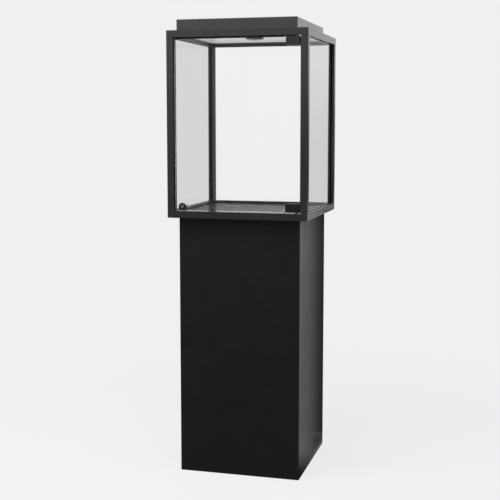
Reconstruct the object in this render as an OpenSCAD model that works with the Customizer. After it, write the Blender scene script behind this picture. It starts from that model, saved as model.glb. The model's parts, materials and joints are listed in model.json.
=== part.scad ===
// Pedestal display case: a dark plinth carries a glazed case of grooved square tube, with a
// frameless glass door on clamp hinges, a cam lock, and a hood on top that holds a downlight.
// The origin is on the floor under the centre of the plinth, the front faces -Y and +Z is up.

/* [Pedestal] */
// Width and depth of the plinth
ped_w = 435; // [420:1:445]
// Height of the plinth
ped_h = 920; // [600:5:1100]
// Thickness of the laminated boards
board_t = 18; // [16:1:19]
// Side of the square battens in the corners of the plinth
batten_w = 20; // [18:1:30]

/* [Case frame] */
// Width and depth of the glazed case
case_w = 500; // [495:1:510]
// Height of the glazed case
case_h = 647; // [450:1:900]
// Side of the square tube
tube = 25; // [25:0.5:26]
// Wall of the square tube
tube_wall = 1.5; // [1.2:0.1:1.6]
// Radius along the outer edges of the tube
edge_r = 1; // [0.6:0.1:1.4]
// Reach of the fin that carries the panels
fin_w = 22; // [20:1:24]
// Thickness of the fin
fin_t = 2; // [1.8:0.1:2.4]
// Length of each spigot on a corner connector
spigot_l = 22; // [18:1:22]

/* [Glazing] */
// Thickness of the fixed panes
pane_t = 5; // [4:0.5:5.5]
// Depth of a pane's edge in its groove
pane_grip = 5.5; // [4.5:0.5:5.5]
// Width of the glazing groove
groove_w = 8; // [7.5:0.1:8]
// Depth of the glazing groove
groove_d = 7; // [6.8:0.1:7]

/* [Panels] */
// Thickness of the floor panel
floor_t = 18; // [16:1:22]
// Thickness of the ceiling panel
ceiling_t = 8; // [6:1:10]
// Thickness of the sheet that closes the top
top_sheet_t = 2; // [1.8:0.1:2.5]

/* [Door] */
// Thickness of the door glass
door_t = 6; // [5:0.5:6]
// Gap between the door glass and the frame
door_gap = 2.5; // [2:0.1:3]
// Centre of the door glass behind the face of the frame
door_set = 10; // [9.8:0.1:12]

/* [Hinges] */
// Width of a hinge plate
hinge_w = 50; // [40:1:60]
// Height of a hinge plate
hinge_h = 30; // [28:1:36]
// Thickness of a hinge plate
hinge_plate_t = 4.5; // [4:0.1:4.8]
// Pivot axis from the inner face of the post
pivot_in = 15; // [15:0.5:16]
// Diameter of the pivot pin
pin_d = 6; // [5:0.5:6]

/* [Lock] */
// Width of the lock housing
lock_w = 26; // [24:1:28]
// Diameter of the key plug
plug_d = 12; // [10:0.5:12]
// Lock axis from the inner face of the left post
lock_in = 29; // [28:1:60]
// Reach of the cam from the lock axis
cam_l = 20; // [19:0.5:20]

/* [Hood] */
// Hood side walls inside the sides of the case
hood_side_in = 37.5; // [36:0.5:45]
// Hood back wall inside the back of the case
hood_back_in = 57; // [40:1:80]
// Height of the hood
hood_h = 36; // [34:1:60]
// Thickness of the folded sheet
sheet_t = 1.5; // [1:0.1:2]
// Number of vent slots in the back wall
vents = 12; // [6:1:13]

/* [Downlight] */
// Diameter of the downlight flange
light_d = 66; // [60:1:80]
// Number of cooling fins
light_fins = 16; // [8:2:20]

/* [Hidden] */
$fn = 48;

// finishes
powder_black = [0.17, 0.17, 0.18];
laminate_black = [0.12, 0.12, 0.12];
floor_grey = [0.28, 0.28, 0.28];
satin_white = [0.93, 0.93, 0.93];
clear_glass = [0.8, 0.88, 0.86, 0.35];
soft_black = [0.07, 0.07, 0.07];
bare_steel = [0.66, 0.67, 0.68];
zinc_yellow = [0.75, 0.68, 0.45];
pine = [0.8, 0.67, 0.48];
nylon = [0.85, 0.85, 0.82];

// levels and lines that the parts share
fit = 0.05;
loose = 0.5;
case_z0 = ped_h;
case_z1 = ped_h + case_h;
rail_z0 = case_z0 + tube;
rail_z1 = case_z1 - tube;
mid_z = (case_z0 + case_z1) / 2;
half = case_w / 2;
inner = half - tube;
tube_c = half - tube / 2;
open_w = 2 * inner;
open_h = rail_z1 - rail_z0;
ped_half = ped_w / 2;
ped_inner = ped_half - board_t;
ceiling_z1 = case_z1 - top_sheet_t - fin_t;
ceiling_z = ceiling_z1 - ceiling_t;
floor_z = case_z0 + floor_t;

// tube profile: the channel is the tube's own wall folded in round the groove
channel_w = groove_w + 2 * tube_wall;
channel_d = groove_d + tube_wall;
spigot_w = tube - 2 * tube_wall - 0.4;
notch_w = channel_w + 0.4;
notch_d = channel_d + 0.2;
fin_root = 1;
fin_end = 0.3;

// fasteners
bolt_d = 6;
bolt_pitch = 300;
insert_d = 10;
insert_l = 12;
batten_screw_d = 4;
batten_screw_l = 40;
ceiling_screw_d = 3.4;
fin_screw_in = 18;
m4 = 4;

// door
door_y = -(half - door_set);
door_x = inner - door_gap;
door_z0 = rail_z0 + door_gap;
door_z1 = rail_z1 - door_gap;
pivot_x = inner - pivot_in;
pad_t = 1;
hinge_t = door_t + 2 * pad_t + 2 * hinge_plate_t;
core_t = door_t + 2 * pad_t;
hinge_right = pivot_in - door_gap - 0.5;
hinge_left = hinge_w - hinge_right;
hinge_r = 3;
core_w = 22;
core_h = 19.5;
notch_h = 20.5;
clamp_screw_x = 7.2;
clamp_screw_z = 13;
pin_above = 12;
pin_below = 10.5;
bush_d = 10;
bush_flange_d = 13;
bush_l = 11;
running = 0.05;

// lock
lock_x = -(inner - lock_in);
lock_z = door_z0 + 13;
sleeve_d = plug_d + 4;
washer_t = 0.5;
lock_face_t = 5.5;
nut_t = 3.2;
nut_d = 24;
cam_t = 2;
cam_w = 9;
cam_gap = 0.3;
cam_square = 7;
strike_t = 1;
strike_slot_w = 5;
lock_front_y = door_y - door_t / 2 - washer_t;
lock_back_y = door_y + door_t / 2 + washer_t;
cam_y = lock_back_y + nut_t + cam_gap;

// hood
hood_x = half - hood_side_in;
hood_y0 = -half;
hood_y1 = half - hood_back_in;
hood_r = 2.5;
inlet_x = -120;
inlet_z = case_z1 + 19;
bracket_x = hood_x - 22;
bracket_w = 20;
clip_x = 120;
driver = [42, 110, 24];
driver_pos = [-120, 75];
lead_z = case_z1 + 8;

// ---------------------------------------------------------------- shared shapes

module rounded_rect(w, h, r) {
    square([w - 2 * r, h], center = true);
    square([w, h - 2 * r], center = true);
    for (x = [-1, 1], y = [-1, 1])
        translate([x * (w / 2 - r), y * (h / 2 - r)])
            circle(r);
}

// a plate drawn in X and Z, standing in Y from y0 to y1
module upright(y0, y1) {
    translate([0, y1, 0])
        rotate([90, 0, 0])
            linear_extrude(y1 - y0)
                children();
}

module each_bolt() {
    for (x = [-1, 1], y = [-1, 1])
        translate([x * bolt_pitch / 2, y * bolt_pitch / 2, 0])
            children();
}

// four sides of the case, each turned from the front
module side_of_case(turn) {
    rotate([0, 0, turn])
        children();
}

// a countersunk screw: the head is flush at z = 0 and the shank goes down
module sunk_screw(d, l) {
    head_d = 2 * d;
    head_h = d / 2 + 0.1;
    difference() {
        rotate_extrude()
            polygon([[0, 0], [head_d / 2, 0], [head_d / 2, -0.2], [d / 2, -head_h],
                [d / 2, -l + d / 2], [0, -l]]);
        for (a = [0, 90])
            rotate([0, 0, a])
                cube([head_d * 0.62, d * 0.2, d * 0.6], center = true);
    }
}

// the hole that a countersunk screw fills
module sunk_hole(d, l) {
    head_d = 2 * d + 2 * fit;
    hole_d = d + 2 * fit;
    head_h = d / 2 + 0.1;
    rotate_extrude()
        polygon([[0, 1], [head_d / 2, 1], [head_d / 2, -0.2 - fit], [hole_d / 2, -head_h - fit],
            [hole_d / 2, -l - fit], [0, -l - fit]]);
}

// a button head screw: the seat is at z = 0, the head stands up and the shank goes down
module button_screw(d, l) {
    head_r = d;
    head_h = 0.6 * d;
    dome_r = (head_r * head_r + head_h * head_h) / (2 * head_h);
    difference() {
        union() {
            intersection() {
                translate([0, 0, head_h - dome_r])
                    sphere(dome_r);
                cylinder(r = head_r, h = head_h);
            }
            translate([0, 0, -l])
                cylinder(d = d, h = l + 0.1);
        }
        translate([0, 0, head_h * 0.35])
            cylinder(d = d * 0.7, h = head_h, $fn = 6);
    }
}

// ---------------------------------------------------------------- pedestal

module panel(outline, z0, z1) {
    color(laminate_black)
        translate([0, 0, z0])
            linear_extrude(z1 - z0)
                polygon(outline);
}

module pedestal_front_panel() {
    panel([[-ped_half, -ped_half], [ped_half, -ped_half], [ped_inner, -ped_inner],
        [-ped_inner, -ped_inner]], 0, ped_h);
}

module side_panel(side) {
    panel([[side * ped_half, -ped_half], [side * ped_half, ped_half],
        [side * ped_inner, ped_half], [side * ped_inner, -ped_inner]], 0, ped_h);
}

module pedestal_left_panel() {
    side_panel(-1);
}

module pedestal_right_panel() {
    side_panel(1);
}

batten_screw_z = [120, ped_h / 2, ped_h - 120];

module each_batten_screw() {
    for (x = [-1, 1], z = batten_screw_z)
        translate([x * (ped_inner - batten_w / 2), ped_half, z])
            rotate([-90, 0, 0])
                children();
}

module pedestal_back_panel() {
    color(laminate_black)
        difference() {
            translate([-ped_inner + loose, ped_inner, 1])
                cube([2 * (ped_inner - loose), board_t, ped_h - 2]);
            each_batten_screw()
                sunk_hole(batten_screw_d, batten_screw_l);
        }
}

module pedestal_top_board() {
    color(laminate_black)
        difference() {
            translate([-ped_inner, -ped_inner, ped_h - board_t])
                cube([2 * ped_inner, 2 * ped_inner, board_t]);
            each_bolt()
                translate([0, 0, ped_h - board_t - 1])
                    cylinder(d = bolt_d + 1, h = board_t + 2);
        }
}

module pedestal_base_board() {
    color(laminate_black)
        translate([-ped_inner, -ped_inner, 0])
            cube([2 * ped_inner, 2 * ped_inner, board_t]);
}

module corner_battens() {
    chamfer = 5;
    color(pine)
        difference() {
            for (x = [-1, 1], y = [-1, 1])
                translate([x * ped_inner, y * ped_inner, board_t])
                    mirror([x > 0 ? 1 : 0, 0, 0])
                        mirror([0, y > 0 ? 1 : 0, 0])
                            linear_extrude(ped_h - 2 * board_t)
                                polygon([[0, 0], [batten_w, 0], [batten_w, batten_w - chamfer],
                                    [batten_w - chamfer, batten_w], [0, batten_w]]);
            each_batten_screw()
                sunk_hole(batten_screw_d, batten_screw_l);
        }
}

module back_panel_screws() {
    color(bare_steel)
        each_batten_screw()
            sunk_screw(batten_screw_d, batten_screw_l);
}

module case_bolts() {
    color(bare_steel)
        each_bolt()
            translate([0, 0, ped_h - board_t])
                mirror([0, 0, 1])
                    button_screw(bolt_d, board_t + insert_l - 1);
}

module floor_inserts() {
    color(zinc_yellow)
        each_bolt()
            translate([0, 0, case_z0])
                difference() {
                    cylinder(d = insert_d, h = insert_l);
                    translate([0, 0, -1])
                        cylinder(d = bolt_d + 2 * fit, h = insert_l + 2);
                }
}

// ---------------------------------------------------------------- case frame

// the tube's section; grooves lists the sides with a glazing groove, by angle
module tube_section(grooves) {
    difference() {
        union() {
            difference() {
                rounded_rect(tube, tube, edge_r);
                square(tube - 2 * tube_wall, center = true);
            }
            for (a = grooves)
                rotate(a)
                    translate([(tube - channel_d) / 2, 0])
                        square([channel_d, channel_w], center = true);
        }
        for (a = grooves)
            rotate(a)
                translate([tube / 2 - groove_d, -groove_w / 2])
                    square([groove_d + 1, groove_w]);
    }
}

module spigot_section(grooves) {
    difference() {
        square(spigot_w, center = true);
        for (a = grooves)
            rotate(a)
                translate([tube / 2 - notch_d, -notch_w / 2])
                    square([notch_d, notch_w]);
    }
}

module post(x, y, grooves) {
    color(powder_black)
        translate([x * tube_c, y * tube_c, rail_z0])
            linear_extrude(open_h)
                tube_section(grooves);
}

module post_front_left() {
    post(-1, -1, [90]);
}

module post_front_right() {
    post(1, -1, [90]);
}

module post_back_left() {
    post(-1, 1, [270, 0]);
}

module post_back_right() {
    post(1, 1, [270, 180]);
}

// a rail of the front side; level is -1 at the bottom and 1 at the top
module rail(level, grooved) {
    z = mid_z + level * (case_h - tube) / 2;
    fin_z = level < 0 ? case_z0 : ceiling_z1;
    color(powder_black)
        difference() {
            union() {
                translate([-inner, -tube_c, z])
                    rotate([90, 0, 90])
                        linear_extrude(open_w)
                            tube_section(grooved ? [-90 * level] : []);
                translate([0, -inner, fin_z])
                    linear_extrude(fin_t)
                        polygon([[-inner, -fin_root], [inner, -fin_root], [inner - fin_end, 0],
                            [inner - fin_w - fin_end, fin_w], [fin_w + fin_end - inner, fin_w],
                            [fin_end - inner, 0]]);
            }
            if (level > 0)
                rail_screw_holes();
        }
}

fin_screw_x = [-150, 0, 150];

module rail_screw_holes() {
    for (x = fin_screw_x)
        translate([x, fin_screw_in - inner, case_z1])
            sunk_hole(ceiling_screw_d, top_sheet_t + fin_t + 1);
}

module bottom_rail_front() {
    color(powder_black)
        difference() {
            rail(-1, false);
            pivot_seats();
            strike_slot(rail_z0 - tube_wall - 1, rail_z0 + 1);
            each_strike_screw()
                sunk_hole(strike_screw_d, strike_screw_l);
        }
}

module bottom_rail_right() {
    side_of_case(90)
        rail(-1, true);
}

module bottom_rail_back() {
    side_of_case(180)
        rail(-1, true);
}

module bottom_rail_left() {
    side_of_case(270)
        rail(-1, true);
}

module top_rail_front() {
    color(powder_black)
        difference() {
            rail(1, false);
            pivot_seats();
        }
}

module top_rail_right() {
    side_of_case(90)
        rail(1, true);
}

module top_rail_back() {
    side_of_case(180)
        rail(1, true);
}

module top_rail_left() {
    side_of_case(270)
        rail(1, true);
}

// a spigot of two steps, so that its tip finds the tube
module spigot(grooves) {
    tip = 3;
    translate([0, 0, tube / 2 - 1])
        linear_extrude(spigot_l + 1 - tip)
            spigot_section(grooves);
    translate([0, 0, tube / 2 + spigot_l - tip - 0.5])
        linear_extrude(tip + 0.5)
            intersection() {
                spigot_section(grooves);
                square(spigot_w - 1.6, center = true);
            }
}

// the bottom front left corner, centred on its block; glazed says that a pane also
// stands along X, as at the back
module connector(glazed) {
    difference() {
        union() {
            intersection() {
                linear_extrude(tube, center = true)
                    rounded_rect(tube, tube, edge_r);
                rotate([90, 0, 0])
                    linear_extrude(tube, center = true)
                        rounded_rect(tube, tube, edge_r);
                rotate([0, 90, 0])
                    linear_extrude(tube, center = true)
                        rounded_rect(tube, tube, edge_r);
            }
            rotate([90, 0, 90])
                spigot(glazed ? [90] : []);
            rotate([-90, 0, 0])
                spigot([270]);
            spigot(glazed ? [90, 0] : [90]);
        }
        pane_corner();
        if (glazed)
            rotate([0, 0, -90])
                mirror([1, 0, 0])
                    pane_corner();
    }
}

// room for the corner of a pane that runs along Y
module pane_corner() {
    translate([-groove_w / 2, tube / 2 - groove_d, tube / 2 - groove_d])
        cube([groove_w, groove_d + 1, groove_d + 1]);
}

module corner_connectors() {
    color(powder_black)
        difference() {
            for (x = [0, 1], y = [0, 1], z = [0, 1])
                translate([(2 * x - 1) * tube_c, (2 * y - 1) * tube_c,
                    mid_z + (2 * z - 1) * (case_h - tube) / 2])
                    mirror([x, 0, 0])
                        mirror([0, y, 0])
                            mirror([0, 0, z])
                                connector(y > 0);
            pivot_seats();
            each_strike_screw()
                sunk_hole(strike_screw_d, strike_screw_l);
        }
}

// ---------------------------------------------------------------- glazing and panels

// a pane of the left or right side, centred on the case
module side_pane(extra_t, grip) {
    cube([pane_t + extra_t, open_w + 2 * grip, open_h + 2 * grip], center = true);
}

module at_pane(turn) {
    rotate([0, 0, turn])
        translate([tube_c, 0, mid_z])
            children();
}

module pane(turn) {
    color(clear_glass)
        at_pane(turn)
            side_pane(0, pane_grip);
}

module side_glass_left() {
    pane(180);
}

module side_glass_right() {
    pane(0);
}

module back_glass() {
    pane(90);
}

// a channel strip that lines each groove and shows a thin lip past it, and the door's seal
module glazing_gaskets() {
    lip = 1;
    slack = 0.2;
    color(soft_black) {
        for (turn = [0, 90, 180])
            at_pane(turn)
                difference() {
                    side_pane(groove_w - pane_t - slack, groove_d - slack);
                    side_pane(groove_w, -lip);
                    side_pane(0, pane_grip);
                }
        door_seal();
    }
}

// strips down the lock side of the doorway and along its head, with a stop behind the glass
module door_seal() {
    seal_t = 2;
    seal_w = tube - 3;
    stop_w = 9;
    stop_h = 4.5;
    translate([-inner, 1.5 - half, rail_z0])
        cube([seal_t, seal_w, open_h]);
    translate([-inner, 1.5 - half, rail_z1 - seal_t])
        cube([inner + pivot_x - bush_flange_d / 2 - 3, seal_w, seal_t]);
    translate([-inner, door_y + door_t / 2 + 0.6, rail_z1 - stop_h])
        cube([inner + pivot_x - hinge_left - 6, stop_w, stop_h]);
}

module floor_panel() {
    edge = fin_w + 1;
    color(floor_grey)
        difference() {
            union() {
                translate([0, 0, case_z0 + fin_t + (floor_t - fin_t) / 2])
                    cube([open_w - 2 * loose, open_w - 2 * loose, floor_t - fin_t], center = true);
                translate([0, 0, case_z0 + floor_t / 4])
                    cube([open_w - 2 * edge, open_w - 2 * edge, floor_t / 2], center = true);
            }
            each_bolt()
                translate([0, 0, case_z0 - 1])
                    cylinder(d = insert_d + 2 * fit, h = insert_l + 1 + fit);
        }
}

light_hole_d = 53;

module each_ceiling_screw() {
    for (turn = [0, 90, 180, 270], x = fin_screw_x)
        side_of_case(turn)
            translate([x, fin_screw_in - inner, case_z1])
                children();
}

ceiling_screw_l = top_sheet_t + fin_t + 5;

module ceiling_panel() {
    color(satin_white)
        difference() {
            translate([0, 0, ceiling_z + ceiling_t / 2])
                cube([open_w - 2 * loose, open_w - 2 * loose, ceiling_t], center = true);
            translate([0, 0, ceiling_z - 1])
                cylinder(d = light_hole_d, h = ceiling_t + 2);
            each_ceiling_screw()
                sunk_hole(ceiling_screw_d, ceiling_screw_l);
        }
}

module top_sheet() {
    color(powder_black)
        difference() {
            translate([0, 0, case_z1 - top_sheet_t / 2])
                cube([open_w - loose, open_w - loose, top_sheet_t], center = true);
            translate([0, 0, case_z1 - top_sheet_t - 1])
                cylinder(d = light_hole_d + 47, h = top_sheet_t + 2);
            each_ceiling_screw()
                sunk_hole(ceiling_screw_d, ceiling_screw_l);
            each_driver_screw()
                translate([0, 0, -top_sheet_t - 1])
                    cylinder(d = m4 + 2 * fit, h = top_sheet_t + 2);
        }
}

module ceiling_screws() {
    color(soft_black)
        each_ceiling_screw()
            sunk_screw(ceiling_screw_d, ceiling_screw_l);
}

// ---------------------------------------------------------------- hood and light

// a block from z = 0 up, with its upright and top edges rounded like folded sheet
module hood_block(x0, x1, y0, y1, h, r) {
    translate([(x0 + x1) / 2, (y0 + y1) / 2, 0])
        intersection() {
            translate([0, 0, -1])
                linear_extrude(h + 2)
                    rounded_rect(x1 - x0, y1 - y0, r);
            rotate([90, 0, 0])
                linear_extrude(y1 - y0 + 2, center = true)
                    rounded_rect(x1 - x0, 2 * h, r);
            rotate([90, 0, 90])
                linear_extrude(x1 - x0 + 2, center = true)
                    rounded_rect(y1 - y0, 2 * h, r);
            translate([0, 0, h / 2])
                cube([2 * (x1 - x0), 2 * (y1 - y0), h], center = true);
        }
}

vent_h = 16;
vent_w = 3;
vent_pitch = 11;
vent_x0 = 20;
flange_w = 12;
inlet_body = [22, 14];
inlet_flange = [28, 20];

module hood_cover() {
    color(powder_black)
        difference() {
            translate([0, 0, case_z1])
                union() {
                    difference() {
                        hood_block(-hood_x, hood_x, hood_y0, hood_y1, hood_h, hood_r);
                        translate([0, 0, -0.01])
                            hood_block(sheet_t - hood_x, hood_x - sheet_t, hood_y0 + sheet_t,
                                hood_y1 - sheet_t, hood_h - sheet_t, hood_r - sheet_t);
                    }
                    translate([15 - hood_x, hood_y0 + sheet_t / 2, 0])
                        cube([2 * hood_x - 30, flange_w, sheet_t]);
                }
            for (i = [0 : vents - 1])
                translate([vent_x0 + i * vent_pitch, 0, inlet_z])
                    upright(hood_y1 - sheet_t - 2, hood_y1 + 1)
                        rounded_rect(vent_w, vent_h, vent_w / 2 - 0.01);
            translate([inlet_x, 0, inlet_z])
                upright(hood_y1 - sheet_t - 1, hood_y1 + 1)
                    square(inlet_body + [0.4, 0.4], center = true);
            each_hood_screw()
                translate([0, 0, -m4])
                    cylinder(d = m4 + 0.4, h = 2 * m4);
        }
}

// rear angle brackets that take the hood screws, and front clips over the hood's flange
module hood_brackets() {
    foot = 18;
    rise = 22;
    clip_gap = 0.2;
    color(bare_steel) {
        difference() {
            for (x = [-1, 1])
                translate([x * bracket_x - bracket_w / 2, hood_y1 - sheet_t - 0.1, case_z1])
                    rotate([90, 0, 90])
                        linear_extrude(bracket_w)
                            polygon([[0, 0], [0, rise], [-sheet_t, rise], [-sheet_t, sheet_t],
                                [-foot, sheet_t], [-foot, 0]]);
            each_hood_screw()
                translate([0, 0, -2 * m4])
                    cylinder(d = m4 + 2 * fit, h = 3 * m4);
        }
        for (x = [-1, 1])
            translate([x * clip_x - bracket_w / 2, 2 - inner, case_z1])
                rotate([90, 0, 90])
                    linear_extrude(bracket_w)
                        polygon([[0, 0], [foot, 0], [foot, sheet_t], [sheet_t, sheet_t],
                            [sheet_t, 2 * sheet_t + clip_gap], [-foot, 2 * sheet_t + clip_gap],
                            [-foot, sheet_t + clip_gap], [0, sheet_t + clip_gap]]);
    }
}

module each_hood_screw() {
    for (x = [-1, 1])
        translate([x * bracket_x, hood_y1, case_z1 + 12])
            rotate([-90, 0, 0])
                children();
}

ear_l = 12;
ear_t = 3;

module each_driver_screw() {
    for (y = [-1, 1])
        translate([driver_pos[0] + 12, driver_pos[1] + y * (driver[1] / 2 + ear_l / 2), case_z1])
            children();
}

module hood_screws() {
    color(bare_steel) {
        each_hood_screw()
            button_screw(m4, 10);
        each_driver_screw()
            translate([0, 0, ear_t])
                button_screw(m4, ear_t + top_sheet_t);
    }
}

// an appliance inlet with two contact pins in a recess
module power_inlet() {
    recess = [17.5, 8.6];
    body_l = 14;
    pin_l = 8;
    pin_pitch = 8.6;
    color(soft_black)
        translate([inlet_x, hood_y1, inlet_z]) {
            difference() {
                union() {
                    upright(0, 1.5)
                        rounded_rect(inlet_flange[0], inlet_flange[1], 3);
                    upright(-body_l, 0.1)
                        square(inlet_body, center = true);
                }
                upright(-10, 2)
                    rounded_rect(recess[0], recess[1], 4.2);
            }
            for (x = [-1, 1])
                translate([x * pin_pitch / 2, -10.5, 0])
                    rotate([-90, 0, 0])
                        cylinder(d = 2.4, h = pin_l + 0.5);
        }
}

module led_driver() {
    color(satin_white)
        translate([driver_pos[0], driver_pos[1], case_z1])
            difference() {
                union() {
                    linear_extrude(driver[2])
                        rounded_rect(driver[0], driver[1], 4);
                    linear_extrude(ear_t)
                        rounded_rect(driver[0] - 4, driver[1] + 2 * ear_l, 4);
                    translate([0, 0, driver[2] - 0.5])
                        linear_extrude(1.5)
                            rounded_rect(driver[0] - 8, driver[1] - 8, 2);
                }
                for (y = [-1, 1])
                    translate([12, y * (driver[1] / 2 + ear_l / 2), -1])
                        cylinder(d = m4 + 0.4, h = ear_t + 2);
            }
}

// supply lead from the inlet to the driver, and a lighter lead on to the downlight
module internal_leads() {
    supply_d = 5;
    led_d = 4;
    bend = 20;
    driver_y0 = driver_pos[1] - driver[1] / 2;
    driver_y1 = driver_pos[1] + driver[1] / 2;
    color(soft_black) {
        translate([driver_pos[0], driver_y1, inlet_z])
            rotate([-90, 0, 0])
                cylinder(d = supply_d, h = hood_y1 - 14 - driver_y1);
        translate([driver_pos[0] + bend, driver_y0, lead_z])
            rotate([0, 0, 180])
                rotate_extrude(angle = 90)
                    translate([bend, 0])
                        circle(d = led_d);
        translate([driver_pos[0] + bend, driver_y0 - bend, lead_z])
            rotate([0, 90, 0])
                cylinder(d = led_d, h = -driver_pos[0] - bend - light_body_r);
    }
}

light_body_r = 26;
light_sleeve_h = 12;
light_drop = 7;
light_bore_r = 21;
lens_r = 18;
lens_t = 2;
lens_seat = 1 - light_drop;
fin_h = 18;

module at_light() {
    translate([0, 0, ceiling_z])
        children();
}

// a rounded ring under the ceiling and a sleeve through the panel
module downlight_bezel() {
    r = light_d / 2;
    color(powder_black)
        at_light()
            rotate_extrude()
                polygon([[r, 0], [r, -2.4], [r - 0.6, -3.6], [r - 2, -4.8], [r - 4.6, -5.9],
                    [r - 8, -light_drop], [lens_r, -light_drop], [lens_r, lens_seat],
                    [light_bore_r, lens_seat], [light_bore_r, light_sleeve_h],
                    [light_body_r, light_sleeve_h], [light_body_r, 0]]);
}

module downlight_lens() {
    color(satin_white)
        at_light()
            translate([0, 0, lens_seat])
                cylinder(r = light_bore_r - 0.1, h = lens_t);
}

module led_board() {
    color(zinc_yellow)
        at_light() {
            translate([0, 0, light_sleeve_h - 1.6])
                cylinder(r = lens_r, h = 1.6);
            translate([0, 0, light_sleeve_h - 2.4])
                cylinder(r = 8, h = 1);
        }
}

module downlight_heatsink() {
    color(soft_black)
        at_light()
            translate([0, 0, light_sleeve_h]) {
                cylinder(r = light_body_r, h = 4);
                linear_extrude(4 + fin_h) {
                    circle(9);
                    for (i = [0 : light_fins - 1])
                        rotate((i + 0.5) * 360 / light_fins)
                            translate([7, -0.8])
                                square([light_body_r - 8, 1.6]);
                }
                translate([-light_body_r, -2.5, 3])
                    cube([7, 5, 8]);
            }
}

// leaf springs that press on the top of the ceiling panel
module downlight_clips() {
    leaf = 0.8;
    color(bare_steel)
        at_light()
            for (turn = [45, 225])
                rotate([0, 0, turn])
                    upright(-5, 5)
                        polygon([[light_body_r, 10.4], [34, 10.4], [43, ceiling_t],
                            [45, ceiling_t], [47, 9.4], [46.3, 9.9], [44.6, ceiling_t + leaf],
                            [43.4, ceiling_t + leaf], [34.3, 10.4 + leaf],
                            [light_body_r, 10.4 + leaf]]);
}

// ---------------------------------------------------------------- door and hinges

// children drawn for the lower hinge, at both hinges
module both_hinges() {
    lower_hinge()
        children();
    upper_hinge()
        children();
}

module lower_hinge() {
    translate([pivot_x, door_y, door_z0])
        children();
}

module upper_hinge() {
    translate([pivot_x, door_y, door_z1])
        mirror([0, 0, 1])
            children();
}

module glass_notch() {
    r = 4;
    w = core_w / 2 + 1;
    translate([(pivot_in - w) / 2 + 5, (notch_h - 10) / 2])
        rounded_rect(w + pivot_in + 10, notch_h + 10, r);
}

module door_outline() {
    difference() {
        translate([0, (door_z0 + door_z1) / 2])
            rounded_rect(2 * door_x, door_z1 - door_z0, 2);
        translate([pivot_x, door_z0])
            glass_notch();
        translate([pivot_x, door_z1])
            mirror([0, 1])
                glass_notch();
        translate([lock_x, lock_z]) {
            circle(d = sleeve_d + 1);
            translate([-(sleeve_d + 1) / 2, -20])
                square([sleeve_d + 1, 20]);
        }
    }
}

module door_glass() {
    color(clear_glass)
        upright(door_y - door_t / 2, door_y + door_t / 2)
            door_outline();
}

// hinge plate in plan, a slice of a round-edged block
module hinge_plate(y0, y1) {
    intersection() {
        translate([(hinge_right - hinge_left) / 2, 0, 0.5])
            linear_extrude(hinge_h)
                rounded_rect(hinge_w, hinge_t, hinge_r);
        upright(y0, y1)
            translate([(hinge_right - hinge_left) / 2, 0.5 + hinge_h / 2])
                rounded_rect(hinge_w, hinge_h, 2.5);
    }
}

// clamp screws enter from the back and end blind in the front plate
module each_clamp_screw() {
    for (x = [-1, 1])
        translate([x * clamp_screw_x, hinge_t / 2, clamp_screw_z])
            rotate([-90, 0, 0])
                children();
}

clamp_screw_l = hinge_t - 1.5;

module hinge_front_plate() {
    difference() {
        hinge_plate(-hinge_t / 2, -core_t / 2);
        each_clamp_screw()
            sunk_hole(m4, clamp_screw_l);
    }
}

module hinge_back_plate() {
    difference() {
        hinge_plate(core_t / 2, hinge_t / 2);
        each_clamp_screw()
            sunk_hole(m4, clamp_screw_l);
    }
}

module lower_hinge_front_plate() {
    color(powder_black)
        lower_hinge()
            hinge_front_plate();
}

module lower_hinge_back_plate() {
    color(powder_black)
        lower_hinge()
            hinge_back_plate();
}

module upper_hinge_front_plate() {
    color(powder_black)
        upper_hinge()
            hinge_front_plate();
}

module upper_hinge_back_plate() {
    color(powder_black)
        upper_hinge()
            hinge_back_plate();
}

// the block in the glass notch that carries the pivot pin
module hinge_cores() {
    color(powder_black)
        both_hinges()
            difference() {
                upright(-core_t / 2, core_t / 2)
                    translate([0, 0.1 + core_h / 2])
                        rounded_rect(core_w, core_h, 2);
                translate([0, 0, -1])
                    cylinder(d = pin_d + 2 * fit, h = pin_above + 1 + fit);
                each_clamp_screw()
                    sunk_hole(m4, clamp_screw_l);
            }
}

module hinge_pins() {
    color(bare_steel)
        both_hinges()
            rotate_extrude()
                polygon([[0, -pin_below], [pin_d / 2 - 0.6, -pin_below],
                    [pin_d / 2, -pin_below + 0.6], [pin_d / 2, pin_above], [0, pin_above]]);
}

// soft pads between metal and glass, at the hinges and at the lock
module clamp_pads() {
    w = core_w / 2 + 1.5;
    color(soft_black) {
        both_hinges()
            for (y = [-core_t / 2, core_t / 2 - pad_t])
                upright(y, y + pad_t)
                    difference() {
                        translate([(hinge_right - hinge_left) / 2, 0.5 + hinge_h / 2])
                            rounded_rect(hinge_w - 1, hinge_h - 1, 1);
                        translate([-w, -1])
                            square([w + pivot_in, notch_h + 1.5]);
                    }
        translate([lock_x, 0, lock_z]) {
            upright(lock_front_y, lock_front_y + washer_t)
                difference() {
                    circle(d = lock_w - 2);
                    circle(d = sleeve_d + 1);
                }
            upright(lock_back_y - washer_t, lock_back_y)
                difference() {
                    circle(d = nut_d - 3);
                    circle(d = sleeve_d + 1);
                }
        }
    }
}

module hinge_screws() {
    color(bare_steel)
        both_hinges()
            each_clamp_screw()
                sunk_screw(m4, clamp_screw_l);
}

// flanged bushes pressed through the rail into the connector's spigot
module at_rail_pivots() {
    translate([pivot_x, door_y, rail_z0])
        children();
    translate([pivot_x, door_y, rail_z1])
        mirror([0, 0, 1])
            children();
}

module pivot_bushes() {
    color(nylon)
        at_rail_pivots()
            difference() {
                union() {
                    cylinder(d = bush_flange_d, h = door_gap - 0.1);
                    translate([0, 0, -bush_l])
                        cylinder(d = bush_d, h = bush_l + 0.1);
                }
                translate([0, 0, -bush_l - 1])
                    cylinder(d = pin_d + 2 * running, h = bush_l + door_gap + 2);
            }
}

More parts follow.
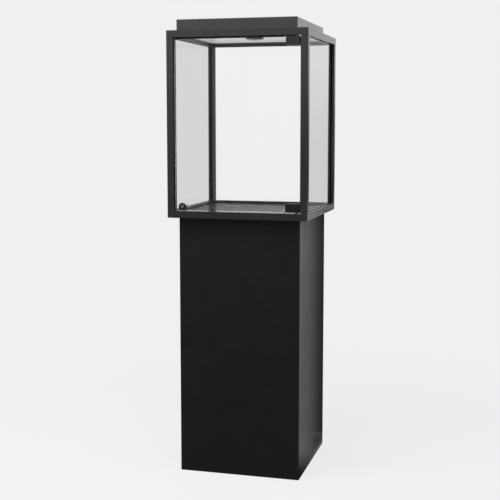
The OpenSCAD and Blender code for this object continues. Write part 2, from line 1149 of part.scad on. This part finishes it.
module pivot_seats() {
    at_rail_pivots()
        translate([0, 0, -bush_l - fit])
            cylinder(d = bush_d + 2 * fit, h = bush_l + 1);
}

// clear stops on the bottom rail that the closed door rests against
module door_bumpers() {
    r = 3.5;
    h = 6;
    inset = 8;
    color(clear_glass)
        for (x = [inset - inner, pivot_x - hinge_left - inset])
            translate([x, door_y + door_t / 2 + r + 0.4, rail_z0]) {
                cylinder(r = r, h = h);
                translate([0, 0, h])
                    intersection() {
                        sphere(r);
                        cylinder(r = r, h = r);
                    }
            }
}

// ---------------------------------------------------------------- lock

module at_lock() {
    translate([lock_x, 0, lock_z])
        children();
}

// arch-shaped face with a stepped rose, and a sleeve through the notch in the glass
module lock_housing() {
    r = lock_w / 2;
    face_y = lock_front_y - lock_face_t;
    drop = lock_z - door_z0 - 0.5;
    color(soft_black)
        at_lock()
            difference() {
                union() {
                    upright(face_y, lock_front_y) {
                        circle(r);
                        translate([0, -drop / 2])
                            rounded_rect(lock_w, drop, 1.5);
                        translate([-r, -drop / 2])
                            square([lock_w, drop / 2]);
                    }
                    translate([0, lock_front_y - 0.1, 0])
                        rotate([-90, 0, 0])
                            cylinder(d = sleeve_d, h = cam_y - cam_gap - lock_front_y + 0.1);
                    translate([0, face_y + 0.1, 0])
                        rotate([90, 0, 0])
                            cylinder(d1 = plug_d + 7, d2 = plug_d + 5, h = 0.8);
                }
                translate([0, face_y - 2, 0])
                    rotate([-90, 0, 0])
                        cylinder(d = plug_d + 2 * running, h = 30);
            }
}

module lock_nut() {
    color(bare_steel)
        at_lock()
            upright(lock_back_y, lock_back_y + nut_t)
                difference() {
                    circle(d = nut_d, $fn = 6);
                    circle(d = sleeve_d + 2 * fit);
                }
}

module lock_plug() {
    front_y = lock_front_y - lock_face_t - 0.9;
    color(bare_steel)
        at_lock()
            difference() {
                union() {
                    translate([0, front_y, 0])
                        rotate([-90, 0, 0])
                            cylinder(d = plug_d, h = cam_y - front_y);
                    upright(cam_y - 0.1, cam_y + cam_t)
                        square(cam_square, center = true);
                }
                translate([0, front_y, 0])
                    cube([8, 8, 1.6], center = true);
                translate([0, cam_y + cam_t - 9, 0])
                    rotate([-90, 0, 0])
                        cylinder(d = m4 + 2 * fit, h = 10);
            }
}

// at rest the cam points away from the post, so the door is free
module lock_cam() {
    tip_r = cam_w / 2;
    color(bare_steel)
        at_lock()
            upright(cam_y, cam_y + cam_t)
                difference() {
                    union() {
                        circle(r = 8);
                        translate([0, -tip_r])
                            square([cam_l - tip_r, cam_w]);
                        translate([cam_l - tip_r, 0])
                            circle(tip_r);
                    }
                    square(cam_square + 2 * fit, center = true);
                }
}

module lock_cam_screw() {
    color(bare_steel)
        at_lock()
            translate([0, cam_y + cam_t, 0])
                rotate([-90, 0, 0])
                    button_screw(m4, 8);
}

// the slot that the turned cam drops into
module strike_slot(z0, z1) {
    back = cam_w / 2 + 0.8;
    front = sqrt(pow(cam_l, 2) - pow(lock_z - rail_z0 - strike_t, 2)) + 1;
    translate([lock_x - back, cam_y + cam_t / 2 - strike_slot_w / 2, z0])
        cube([back + front, strike_slot_w, z1 - z0]);
}

strike_x = lock_x + 8;
strike_w = 44;
strike_d = 11;
strike_screw_d = 2.5;
strike_screw_l = 5;

module each_strike_screw() {
    for (x = [-1, 1])
        translate([strike_x + x * (strike_w / 2 - 4), cam_y + cam_t / 2, rail_z0 + strike_t])
            children();
}

module lock_strike() {
    color(bare_steel)
        difference() {
            translate([strike_x, cam_y + cam_t / 2, rail_z0])
                linear_extrude(strike_t)
                    rounded_rect(strike_w, strike_d, 2);
            strike_slot(rail_z0 - 1, rail_z0 + strike_t + 1);
            each_strike_screw()
                sunk_hole(strike_screw_d, strike_screw_l);
        }
}

module strike_screws() {
    color(bare_steel)
        each_strike_screw()
            sunk_screw(strike_screw_d, strike_screw_l);
}

// ---------------------------------------------------------------- nodes

pedestal_front_panel();
pedestal_left_panel();
pedestal_right_panel();
pedestal_back_panel();
pedestal_top_board();
pedestal_base_board();
corner_battens();
back_panel_screws();
case_bolts();
floor_inserts();
post_front_left();
post_front_right();
post_back_left();
post_back_right();
bottom_rail_front();
bottom_rail_back();
bottom_rail_left();
bottom_rail_right();
top_rail_front();
top_rail_back();
top_rail_left();
top_rail_right();
corner_connectors();
side_glass_left();
side_glass_right();
back_glass();
glazing_gaskets();
floor_panel();
ceiling_panel();
top_sheet();
ceiling_screws();
hood_cover();
hood_brackets();
hood_screws();
power_inlet();
internal_leads();
led_driver();
downlight_bezel();
downlight_lens();
led_board();
downlight_heatsink();
downlight_clips();
pivot_bushes();
door_bumpers();
lock_strike();
strike_screws();
door_glass();
lower_hinge_front_plate();
lower_hinge_back_plate();
upper_hinge_front_plate();
upper_hinge_back_plate();
hinge_cores();
hinge_pins();
clamp_pads();
hinge_screws();
lock_housing();
lock_nut();
lock_plug();
lock_cam();
lock_cam_screw();
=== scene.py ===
import json
import math
import bpy
import bmesh
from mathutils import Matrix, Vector


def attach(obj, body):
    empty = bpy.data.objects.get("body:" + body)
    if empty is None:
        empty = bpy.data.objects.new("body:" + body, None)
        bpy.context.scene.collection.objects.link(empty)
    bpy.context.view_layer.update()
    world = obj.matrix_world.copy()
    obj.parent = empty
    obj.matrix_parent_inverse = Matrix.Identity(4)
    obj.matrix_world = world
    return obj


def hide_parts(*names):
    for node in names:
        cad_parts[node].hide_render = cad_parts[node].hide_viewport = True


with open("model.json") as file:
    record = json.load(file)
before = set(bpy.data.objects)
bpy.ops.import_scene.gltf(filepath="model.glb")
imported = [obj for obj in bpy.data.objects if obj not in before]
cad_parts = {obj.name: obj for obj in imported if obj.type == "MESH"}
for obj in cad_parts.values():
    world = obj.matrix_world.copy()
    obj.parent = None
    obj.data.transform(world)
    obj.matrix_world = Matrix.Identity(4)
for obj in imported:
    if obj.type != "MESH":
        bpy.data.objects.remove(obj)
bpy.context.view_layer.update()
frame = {"nodes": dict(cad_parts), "record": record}
print("frame loaded with", len(frame["nodes"]), "nodes")


class Wire:        # one value in a finish; sums on it add Math nodes
    def __init__(self, finish, socket):
        self.finish = finish
        self.socket = socket

    def maths(self, operation, *values, clamp=False):
        settings = {"operation": operation, "use_clamp": clamp}
        return self.finish.node("ShaderNodeMath", settings, dict(enumerate(values)))

    def __add__(self, other):
        return self.maths("ADD", self, other)

    def __radd__(self, other):
        return self.maths("ADD", other, self)

    def __sub__(self, other):
        return self.maths("SUBTRACT", self, other)

    def __rsub__(self, other):
        return self.maths("SUBTRACT", other, self)

    def __mul__(self, other):
        return self.maths("MULTIPLY", self, other)

    def __rmul__(self, other):
        return self.maths("MULTIPLY", other, self)

    def __truediv__(self, other):
        return self.maths("DIVIDE", self, other)

    def __rtruediv__(self, other):
        return self.maths("DIVIDE", other, self)

    def __abs__(self):
        return self.maths("ABSOLUTE", self)

    def atLeast(self, other):
        return self.maths("MAXIMUM", self, other)

    def clamped(self):
        return self.maths("ADD", self, 0.0, clamp=True)


class Finish:        # a material, or the world, under construction
    def __init__(self, name, kept=None):
        self.material = kept or bpy.data.materials.new(name)
        self.material.use_nodes = True
        self.tree = self.material.node_tree
        self.tree.nodes.clear()
        self.place = None

    def node(self, kind, settings=None, values=None, output=0):
        made = self.tree.nodes.new(kind)
        for key, value in (settings or {}).items():
            if key == "stops":
                ramp = made.color_ramp
                while len(ramp.elements) < len(value):
                    ramp.elements.new(0.5)
                for element, (position, colour) in zip(ramp.elements, value):
                    element.position = position
                    element.color = colour
            else:
                setattr(made, key, value)
        for key, value in (values or {}).items():
            if isinstance(value, Wire):
                self.tree.links.new(value.socket, made.inputs[key])
            else:
                made.inputs[key].default_value = value
        return Wire(self, made.outputs[output])

    def objectPlace(self):
        if self.place is None:
            self.place = self.node("ShaderNodeTexCoord", output="Object")
        return self.place

    def stretched(self, scale):
        return self.node("ShaderNodeMapping", None, {"Vector": self.objectPlace(), "Scale": scale})

    def noise(self, scale, detail=2.0, rough=0.5, place=None):
        place = place or self.objectPlace()
        values = {"Vector": place, "Scale": scale, "Detail": detail, "Roughness": rough}
        return self.node("ShaderNodeTexNoise", None, values)

    def cells(self, scale):
        values = {"Vector": self.objectPlace(), "Scale": scale}
        return self.node("ShaderNodeTexVoronoi", {"feature": "F1"}, values, "Distance")

    def ramp(self, value, stops):
        stops = [(at, (level, level, level, 1)) for at, level in stops]
        return self.node("ShaderNodeValToRGB", {"stops": stops}, {"Fac": value})

    def scaled(self, colour, amount):
        values = {0: colour if isinstance(colour, Wire) else colour[:3], "Scale": amount}
        return self.node("ShaderNodeVectorMath", {"operation": "SCALE"}, values)

    def opaque(self, colour):
        return colour if isinstance(colour, Wire) else (*colour[:3], 1)

    def blended(self, factor, first, second):
        values = {0: factor, 6: self.opaque(first), 7: self.opaque(second)}        # 6 and 7: colours A, B
        return self.node("ShaderNodeMix", {"data_type": "RGBA"}, values, 2)

    def parts(self, vector):
        split = self.node("ShaderNodeSeparateXYZ", None, {0: vector}).socket.node
        return [Wire(self, split.outputs[axis]) for axis in "XYZ"]

    def edges(self, sharpness=5):
        # rounded edges are where the surface doesn't face along an axis of the piece
        normal = self.node("ShaderNodeTexCoord", output="Normal")
        x, y, z = [abs(part) for part in self.parts(normal)]
        return ((1 - x.atLeast(y).atLeast(z)) * sharpness).clamped()

    def bumped(self, height, strength, distance):
        values = {"Strength": strength, "Distance": distance, "Height": height}
        return self.node("ShaderNodeBump", None, values)

    def surface(self, colour, rough, normal=None, **constants):
        values = {"Base Color": self.opaque(colour), "Roughness": rough}
        if normal is not None:
            values["Normal"] = normal
        for key, value in constants.items():
            values[socketNames[key]] = value
        return self.node("ShaderNodeBsdfPrincipled", None, values)

    def close(self, shader, kind="ShaderNodeOutputMaterial"):
        out = self.tree.nodes.new(kind)
        self.tree.links.new(shader.socket, out.inputs["Surface"])
        return self.material


socketNames = {
    "metal": "Metallic", "ior": "IOR", "through": "Transmission Weight",
    "specular": "Specular IOR Level", "glow": "Emission Color", "glowStrength": "Emission Strength",
}


# In the looks below, a pattern has a scale (grain, cloud, speck, ...), and its Shade and Rough
# say how far it moves the colour and the roughness. Stops are (noise value, how much) pairs.

# the frame and hood have a fine powder coat, the hinges and lock a smooth lacquer
powderLook = {
    "colour": (0.023, 0.023, 0.0237), "specular": 0.3, "rough": 0.14,
    "grain": 950.0, "grainShade": 0.7, "grainRough": 0.08,
    "cloud": 22.0, "cloudShade": 0.35, "cloudRough": 0.12,
    "wearAndHighlight": 160.0, "wearAndHighlightStops": [(0.42, 0.0), (0.66, 0.7)], "wearPolish": 0.08,
    "wornAndHighlit": (0.05, 0.05, 0.051), "bump": 0.07, "height": 0.00008,
}
# the same powder coat again: the hood's copy is painted lighter, a painted light, and the bottom rails'
# copy painted darker, a painted shade
hoodPaintedLightLook = {**powderLook, "colour": (0.027, 0.027, 0.0277), "specular": 0.38}
lowRailPaintedShadeLook = {**powderLook, "colour": (0.022, 0.0225, 0.023), "specular": 0.2}
satinLook = {
    **powderLook, "colour": (0.004, 0.004, 0.0042), "wornAndHighlit": (0.03, 0.03, 0.031), "specular": 0.5,
    "rough": 0.20, "grain": 700.0, "grainRough": 0.06, "cloud": 30.0, "bump": 0.06, "height": 0.00005,
}


def powderCoat(name, look):
    f = Finish(name)
    grain = f.noise(look["grain"], detail=3.0, rough=0.6)
    cloud = f.noise(look["cloud"], detail=4.0, rough=0.6)
    # the lighter colour on rounded edges is partly edge wear and partly a painted highlight along the
    # edges
    wearAndHighlight = f.edges() * f.ramp(f.noise(look["wearAndHighlight"], detail=3.0), look["wearAndHighlightStops"])
    shade = 1 + (cloud - 0.5) * look["cloudShade"] + (grain - 0.5) * look["grainShade"]
    colour = f.blended(wearAndHighlight, f.scaled(look["colour"], shade), look["wornAndHighlit"])
    rough = look["rough"] + (grain - 0.5) * look["grainRough"] + (cloud - 0.5) * look["cloudRough"]
    rough = rough - wearAndHighlight * look["wearPolish"]
    normal = f.bumped(grain, look["bump"], look["height"])
    return f.close(f.surface(colour, rough, normal, specular=look["specular"]))


laminateLook = {
    "colour": (0.0122, 0.0129, 0.0119), "specular": 0.1, "rough": 0.24,
    "speck": 420.0, "speckShade": 1.3, "speckRough": 0.25,
    "cloud": 9.0, "cloudShade": 0.4, "cloudRough": 0.16,
    "wearAndHighlight": 90.0, "wearAndHighlightStops": [(0.4, 0.1), (0.7, 0.8)], "wornAndHighlit": (0.026, 0.026, 0.025),
    "pebble": 620.0, "pebbleBump": 0.7, "speckBump": 0.5, "bump": 0.3, "height": 0.00005,
}


def boardLaminate(name, look):
    f = Finish(name)
    pebble = f.cells(look["pebble"])
    speck = f.noise(look["speck"], detail=4.0, rough=0.65)
    cloud = f.noise(look["cloud"], detail=5.0, rough=0.6)
    # the lighter colour on rounded edges is partly edge wear and partly a painted highlight along the
    # edges
    wearAndHighlight = f.edges() * f.ramp(f.noise(look["wearAndHighlight"], detail=4.0), look["wearAndHighlightStops"])
    shade = 1 + (speck - 0.5) * look["speckShade"] + (cloud - 0.5) * look["cloudShade"]
    colour = f.blended(wearAndHighlight, f.scaled(look["colour"], shade), look["wornAndHighlit"])
    rough = look["rough"] + (speck - 0.5) * look["speckRough"] + (cloud - 0.5) * look["cloudRough"]
    relief = pebble * look["pebbleBump"] + speck * look["speckBump"]
    normal = f.bumped(relief, look["bump"], look["height"])
    return f.close(f.surface(colour, rough, normal, specular=look["specular"]))


# thickAxis is the way through the pane (0 for X, 1 for Y): the rim, which faces across it,
# looks greener, and its upright edges are ground matt and painted dark, a painted shade
paneLook = {
    "rimFrom": 0.9, "rimSharpness": 6, "groundRough": 0.4,
    "smudge": 7.0, "smudgeStops": [(0.45, 0.0), (0.75, 1.0)], "smudgeRough": 0.03,
}
glassLooks = {
    "clear_glass": {
        **paneLook, "tint": (0.998, 1.0, 0.999), "rim": (0.30, 0.50, 0.42),
        "paintedShadeRim": (0.02, 0.03, 0.027), "ior": 1.2, "thickAxis": 1,
    },
    "grey_glass": {
        **paneLook, "tint": (0.765, 0.765, 0.765), "rim": (0.26, 0.34, 0.31),
        "paintedShadeRim": (0.10, 0.13, 0.12), "ior": 1.06, "thickAxis": 0,
    },
}


def paneGlass(name, look):
    f = Finish(name)
    facing = f.parts(f.node("ShaderNodeTexCoord", output="Normal"))
    across = abs(facing[look["thickAxis"]])
    rim = ((look["rimFrom"] - across) * look["rimSharpness"]).clamped()
    upright = rim * (1 - abs(facing[2]))
    smudge = f.ramp(f.noise(look["smudge"], detail=5.0, rough=0.6), look["smudgeStops"])
    # the upright edges' dark colour is painted shade; their roughness is the ground matt finish
    colour = f.blended(upright, f.blended(rim, look["tint"], look["rim"]), look["paintedShadeRim"])
    rough = smudge * look["smudgeRough"] + upright * look["groundRough"]
    glass = f.surface(colour, rough, ior=look["ior"], through=1.0)
    clear = f.node("ShaderNodeBsdfTransparent", None, {"Color": f.opaque(look["tint"])})
    isShadow = f.node("ShaderNodeLightPath", output="Is Shadow Ray")
    return f.close(f.node("ShaderNodeMixShader", None, {0: isShadow, 1: glass, 2: clear}))


floorLook = {
    "colour": (0.030, 0.026, 0.023), "level": 0.86, "specular": 0.01, "rough": 0.24,
    "smudge": 8.0, "smudgeStops": [(0.38, 0.0), (0.72, 1.0)], "smudgeShade": 0.2, "smudgeRough": 0.06,
    "film": 35.0, "filmShade": 0.08, "filmRough": 0.08,
    "wave": 60.0, "bump": 0.03, "height": 0.0002,
}


def glossBoard(name, look):
    f = Finish(name)
    smudge = f.ramp(f.noise(look["smudge"], detail=6.0, rough=0.62), look["smudgeStops"])
    film = f.noise(look["film"], detail=4.0, rough=0.6)
    shade = look["level"] + smudge * look["smudgeShade"] + film * look["filmShade"]
    rough = look["rough"] + smudge * look["smudgeRough"] + (film - 0.5) * look["filmRough"]
    normal = f.bumped(f.noise(look["wave"]), look["bump"], look["height"])
    return f.close(f.surface(f.scaled(look["colour"], shade), rough, normal, specular=look["specular"]))


# glow is painted light: an even glow keeps the white board pale below the hood, where little of the
# lamps' light reaches it
ceilingLook = {
    "colour": (0.91, 0.91, 0.91), "level": 0.97, "specular": 0.12, "rough": 0.34, "glow": 0.07,
    "cloud": 5.0, "cloudShade": 0.06, "cloudRough": 0.06,
    "peel": 260.0, "peelRough": 0.08, "bump": 0.18, "height": 0.0003,
}


def whiteLacquer(name, look):
    f = Finish(name)
    peel = f.noise(look["peel"])
    cloud = f.noise(look["cloud"], detail=3.0)
    colour = f.scaled(look["colour"], look["level"] + (cloud - 0.5) * look["cloudShade"])
    rough = look["rough"] + (peel - 0.5) * look["peelRough"] + (cloud - 0.5) * look["cloudRough"]
    normal = f.bumped(peel, look["bump"], look["height"])
    # the glow is painted light on the white board
    shader = f.surface(colour, rough, normal, specular=look["specular"], glow=(1, 1, 1, 1),
                       glowStrength=look["glow"])
    return f.close(shader)


# a Stretch below 1 draws the pattern out along that axis
woodLook = {
    "pale": (0.60, 0.44, 0.27), "dark": (0.36, 0.22, 0.11), "level": 0.85, "rough": 0.6,
    "rings": 26.0, "ringStretch": (9.0, 9.0, 0.35),
    "pores": 240.0, "poreStretch": (1.0, 1.0, 0.05), "poreShade": 0.3, "poreRough": 0.2,
    "bump": 0.3, "height": 0.0004,
}


def softWood(name, look):
    f = Finish(name)
    rings = f.noise(look["rings"], detail=5.0, rough=0.6, place=f.stretched(look["ringStretch"]))
    pores = f.noise(look["pores"], detail=3.0, rough=0.6, place=f.stretched(look["poreStretch"]))
    shade = look["level"] + pores * look["poreShade"]
    colour = f.scaled(f.blended(rings, look["pale"], look["dark"]), shade)
    rough = look["rough"] + (pores - 0.5) * look["poreRough"]
    return f.close(f.surface(colour, rough, f.bumped(pores, look["bump"], look["height"])))


metalLook = {
    "metal": 1.0, "level": 0.86, "lines": 300.0, "lineStretch": (1.0, 0.12, 1.0), "lineRough": 0.2,
    "stain": 70.0, "stainShade": 0.28, "stainRough": 0.14, "bump": 0.2, "height": 0.0001,
}
metalLooks = {
    "zinc_steel": {"colour": (0.54, 0.55, 0.57), "rough": 0.32},
    "brass_insert": {"colour": (0.66, 0.48, 0.20), "rough": 0.3},
    "plug_chrome": {"colour": (0.34, 0.34, 0.345), "rough": 0.2},
    "led_board": {"colour": (0.70, 0.70, 0.66), "rough": 0.45, "metal": 0.7},
    "black_screw": {"colour": (0.035, 0.035, 0.036), "rough": 0.4, "metal": 0.85},
    "heat_sink": {"colour": (0.03, 0.03, 0.031), "rough": 0.45, "metal": 0.8},
}


def machinedMetal(name, look):
    f = Finish(name)
    lines = f.noise(look["lines"], detail=3.0, rough=0.6, place=f.stretched(look["lineStretch"]))
    stain = f.noise(look["stain"], detail=4.0, rough=0.6)
    colour = f.scaled(look["colour"], look["level"] + stain * look["stainShade"])
    rough = look["rough"] + (lines - 0.5) * look["lineRough"] + (stain - 0.5) * look["stainRough"]
    normal = f.bumped(lines, look["bump"], look["height"])
    return f.close(f.surface(colour, rough, normal, metal=look["metal"]))


plasticLook = {
    "level": 0.92, "grainShade": 0.25, "grainRough": 0.15, "cloud": 18.0, "cloudShade": 0.2,
    "bump": 0.2, "height": 0.00012,
}
plasticLooks = {
    "black_rubber": {"colour": (0.005, 0.005, 0.005), "rough": 0.8, "grain": 500.0, "specular": 0.02},
    "black_plastic": {"colour": (0.016, 0.016, 0.017), "rough": 0.45, "grain": 700.0, "specular": 0.4},
    "lead_jacket": {"colour": (0.018, 0.018, 0.018), "rough": 0.5, "grain": 350.0, "specular": 0.4},
    "driver_case": {"colour": (0.74, 0.74, 0.72), "rough": 0.42, "grain": 600.0, "specular": 0.5},
    # smoked_lens is painted dark: a painted reflection of the dark floor panel, seen at a grazing view
    "smoked_lens": {"colour": (0.07, 0.07, 0.07), "rough": 0.3, "grain": 180.0, "specular": 0.2},
    "bush_nylon": {"colour": (0.22, 0.22, 0.21), "rough": 0.48, "grain": 400.0, "specular": 0.5},
    "clear_bumper": {"colour": (0.32, 0.33, 0.33), "rough": 0.3, "grain": 120.0, "specular": 0.4},
}


def mouldedPlastic(name, look):
    f = Finish(name)
    grain = f.noise(look["grain"])
    cloud = f.noise(look["cloud"], detail=3.0)
    shade = look["level"] + (grain - 0.5) * look["grainShade"] + (cloud - 0.5) * look["cloudShade"]
    rough = look["rough"] + (grain - 0.5) * look["grainRough"]
    normal = f.bumped(grain, look["bump"], look["height"])
    return f.close(f.surface(f.scaled(look["colour"], shade), rough, normal, specular=look["specular"]))


finishes = {
    "powder_black": powderCoat("blackPowderCoat", powderLook),
    "powder_hood_painted_light": powderCoat("hoodPowderCoatPaintedLight", hoodPaintedLightLook),
    "powder_low_rail_painted_shade": powderCoat("lowRailPowderCoatPaintedShade", lowRailPaintedShadeLook),
    "satin_black": powderCoat("satinBlackLacquer", satinLook),
    "laminate_black": boardLaminate("nearBlackLaminate", laminateLook),
    "clear_glass": paneGlass("clearGlass", glassLooks["clear_glass"]),
    "grey_glass": paneGlass("paleGreyGlass", glassLooks["grey_glass"]),
    "floor_laminate": glossBoard("glossDarkBoard", floorLook),
    "ceiling_white": whiteLacquer("satinWhiteLacquerPaintedGlow", ceilingLook),
    "softwood": softWood("planedSoftwood", woodLook),
}
for slotName, look in metalLooks.items():
    finishes[slotName] = machinedMetal(slotName + "Metal", {**metalLook, **look})
for slotName, look in plasticLooks.items():
    finishes[slotName] = mouldedPlastic(slotName + "Plastic", {**plasticLook, **look})
print("finishes written", len(finishes))

slotOf = {part["node"]: part["material_slot"] for part in frame["record"]["subparts"]}
# the hood takes the copy with painted light, the bottom rails the copy with painted shade
finishOf = {**slotOf, "hood_cover": "powder_hood_painted_light"}
for side in ("front", "back", "left", "right"):
    finishOf["bottom_rail_" + side] = "powder_low_rail_painted_shade"
for nodeName, nodeObject in frame["nodes"].items():
    nodeObject.data.materials.clear()
    nodeObject.data.materials.append(finishes[finishOf[nodeName]])

bodyOf = {}
for bodyName, nodeNames in frame["record"]["behaviour"]["bodies"].items():
    for nodeName in nodeNames:
        bodyOf[nodeName] = bodyName


def pieceFrom(shape, name, finish):
    mesh = bpy.data.meshes.new(name)
    shape.to_mesh(mesh)
    shape.free()
    mesh.materials.append(finish)
    piece = bpy.data.objects.new(name, mesh)
    bpy.context.scene.collection.objects.link(piece)
    return piece


# widths of the broken edges of boards, panes and sheet, in metres
edgeBreak = {
    "pedestal_front_panel": 0.0006, "pedestal_left_panel": 0.0006, "pedestal_right_panel": 0.0006,
    "pedestal_back_panel": 0.0008, "side_glass_left": 0.0005, "side_glass_right": 0.0005,
    "back_glass": 0.0005, "door_glass": 0.0006, "floor_panel": 0.0008, "ceiling_panel": 0.0006,
    "top_sheet": 0.0004,
}
easing = {"merge": 1e-6, "flatAngle": 0.5, "edgeAngle": 40, "sharpAngle": 50, "segments": 2}


def brokenEdges(nodeName, width):
    shape = bmesh.new()
    shape.from_mesh(frame["nodes"][nodeName].data)
    bmesh.ops.remove_doubles(shape, verts=shape.verts, dist=easing["merge"])
    bmesh.ops.dissolve_limit(shape, angle_limit=math.radians(easing["flatAngle"]),
                             verts=shape.verts, edges=shape.edges)
    edgeAngle = math.radians(easing["edgeAngle"])
    edges = [e for e in shape.edges if len(e.link_faces) == 2 and e.calc_face_angle() > edgeAngle]
    bmesh.ops.bevel(shape, geom=edges, offset=width, affect="EDGES", segments=easing["segments"],
                    profile=0.5, material=-1, clamp_overlap=True)
    piece = pieceFrom(shape, nodeName + "Eased", finishes[slotOf[nodeName]])
    piece.data.shade_smooth()
    piece.data.set_sharp_from_angle(angle=math.radians(easing["sharpAngle"]))
    weighted = piece.modifiers.new("flatFaces", "WEIGHTED_NORMAL")
    weighted.keep_sharp = True
    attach(piece, bodyOf[nodeName])
    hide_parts(nodeName)


for nodeName, width in edgeBreak.items():
    brokenEdges(nodeName, width)
print("edges broken on", len(edgeBreak), "pieces")


# the floor shows evenly pale from far off, and keeps more of the object's shadow close to it
studio = {
    "white": 0.871, "paper": 0.5, "paperRough": 0.9, "paperSpecular": 0.1, "floorSize": 120.0,
    "nearShare": 0.8, "nearLift": 0.09, "shadowReach": 1.2, "worldLight": 0.52,
}

# how bright the floor and the sky look in reflections, like dark and pale cloths laid round
# the object: the floor by its distance in metres, behind the object and in front of it, and
# the sky paler towards two opposite corners by skyTurn
mirrored = {
    "behind": [
        (0.0, 0.55), (2.2, 0.62), (8.0, 0.80), (9.9, 0.62), (11.7, 0.31), (16.3, 0.14), (56.0, 0.22),
    ],
    "front": [(0.0, 0.03), (2.2, 0.07), (7.8, 0.46), (10.1, 0.10), (17.0, 0.14), (56.0, 0.24)],
    "reach": 56.0, "sideBlend": 4, "skyLow": 0.25, "skyHigh": 0.88, "skySlope": 0.055, "skyTurn": 0.75,
}

# only reflections show this card: it stands behind the pedestal, and its shade, which falls
# off outward, darkens the back part of the pedestal's right side
card = {
    "face": 0.2175, "gap": 0.001, "behind": 0.34, "width": 0.16, "top": 0.91,
    "slant": 4.8, "from": -0.16, "fall": 3.4, "least": 0.1, "rimSharpness": 50,
}


def pathShare(f, *rays):
    path = f.node("ShaderNodeLightPath").socket.node
    share = Wire(f, path.outputs[rays[0]])
    for ray in rays[1:]:
        share = share.atLeast(Wire(f, path.outputs[ray]))
    return share


def seenDirectly(f):
    return pathShare(f, "Is Camera Ray", "Is Transmission Ray")


def reflectedOnly(f):
    return pathShare(f, "Is Glossy Ray") * (1 - pathShare(f, "Is Transmission Ray"))


def glowing(f, kind, level):
    return f.node(kind, None, {"Color": (1, 1, 1, 1), "Strength": level})


def cardShade(f):
    # the shade lies in stripes that run back and outward from the pedestal's right side
    x, y = f.parts(f.objectPlace())[:2]
    depth = y - (x - card["face"]) * card["slant"]
    shade = (1 - (depth - card["from"]) * card["fall"]).clamped().atLeast(card["least"])
    return x, y, shade


def reflectedFloor(f, reach):
    part = (reach / mirrored["reach"]).clamped()
    behind, front = [
        f.ramp(part, [(metres / mirrored["reach"], level) for metres, level in mirrored[zone]])
        for zone in ("behind", "front")
    ]
    x, y, shade = cardShade(f)
    before = ((card["behind"] - y) * card["rimSharpness"]).clamped()
    outside = ((x - card["face"]) * card["rimSharpness"]).clamped()
    side = (y * mirrored["sideBlend"] + 0.5).clamped()
    return behind * (1 - before * outside * (1 - shade)) * side + front * (1 - side)


def floorFinish():
    f = Finish("paleFloor")
    white, pale = studio["white"], studio["paper"]
    reach = f.node("ShaderNodeVectorMath", {"operation": "LENGTH"}, {0: f.objectPlace()}, "Value")
    far = (reach / studio["shadowReach"] - 1).clamped()
    near = studio["nearShare"]
    mirror = reflectedOnly(f)
    seen = seenDirectly(f) * (far * (1 - near) + near)
    paper = f.surface((pale, pale, pale), studio["paperRough"], specular=studio["paperSpecular"])
    level = white + (1 - far) * studio["nearLift"]
    level = level + mirror * (reflectedFloor(f, reach) - level)
    even = glowing(f, "ShaderNodeEmission", level)
    return f.close(f.node("ShaderNodeMixShader", None, {0: seen.atLeast(mirror), 1: paper, 2: even}))


shape = bmesh.new()
bmesh.ops.create_grid(shape, x_segments=2, y_segments=2, size=studio["floorSize"] / 2)
pieceFrom(shape, "studioFloor", floorFinish())


def cardFinish():
    f = Finish("shadedCard")
    shade = cardShade(f)[2]
    clear = f.node("ShaderNodeBsdfTransparent")
    dark = glowing(f, "ShaderNodeEmission", 0.0)
    return f.close(f.node("ShaderNodeMixShader", None, {0: shade, 1: dark, 2: clear}))


left, right = card["face"] + card["gap"], card["face"] + card["width"]
corners = [(left, 0), (right, 0), (right, card["top"]), (left, card["top"])]
shape = bmesh.new()
shape.faces.new([shape.verts.new((x, card["behind"], z)) for x, z in corners])
cardPiece = pieceFrom(shape, "shadedCard", cardFinish())
for ray in ("camera", "diffuse", "transmission", "volume_scatter", "shadow"):
    setattr(cardPiece, "visible_" + ray, False)


def skyFinish():
    f = Finish("studioWorld", bpy.data.worlds.new("studioWorld"))
    across, along, slope = f.parts(f.node("ShaderNodeTexCoord", output="Generated"))
    haze = (slope / mirrored["skySlope"]).clamped()
    mirrorLevel = mirrored["skyLow"] + haze * (mirrored["skyHigh"] - mirrored["skyLow"])
    mirrorLevel = mirrorLevel * (1 + across * along * mirrored["skyTurn"])
    level = studio["worldLight"] + seenDirectly(f) * (studio["white"] - studio["worldLight"])
    level = level + reflectedOnly(f) * (mirrorLevel - level)
    return f.close(glowing(f, "ShaderNodeBackground", level), "ShaderNodeOutputWorld")


bpy.context.scene.world = skyFinish()

softboxes = {
    "keySoftbox": {"at": (-1.5, -1.6, 2.5), "aim": (0, 0, 1.2), "size": 1.3, "watts": 40},
    "topSoftbox": {"at": (0.1, -1.3, 3.8), "aim": (0, 0, 1.0), "size": 2.0, "watts": 74},
}
for lampName, lamp in softboxes.items():
    light = bpy.data.lights.new(lampName, "AREA")
    light.shape = "SQUARE"
    light.size = lamp["size"]
    light.energy = lamp["watts"]
    lampObject = bpy.data.objects.new(lampName, light)
    bpy.context.scene.collection.objects.link(lampObject)
    lampObject.location = lamp["at"]
    beam = Vector(lamp["aim"]) - Vector(lamp["at"])
    lampObject.rotation_euler = beam.to_track_quat("-Z", "Y").to_euler()

# turn and tilt are in degrees, lens and sensor in millimetres
viewpoint = {
    "at": (0.9623, -3.6148, 1.259), "turn": 15.18, "tilt": 6.4, "lens": 73.5, "sensor": 36,
    "shift": -0.03,
}
cameraData = bpy.data.cameras.new("studioCamera")
cameraData.lens = viewpoint["lens"]
cameraData.sensor_width = viewpoint["sensor"]
cameraData.shift_y = viewpoint["shift"]
camera = bpy.data.objects.new("studioCamera", cameraData)
camera.location = viewpoint["at"]
camera.rotation_euler = (math.radians(90 - viewpoint["tilt"]), 0, math.radians(viewpoint["turn"]))
bpy.context.scene.collection.objects.link(camera)
bpy.context.scene.camera = camera
bpy.context.scene.view_settings.view_transform = "Standard"
print("studio set")
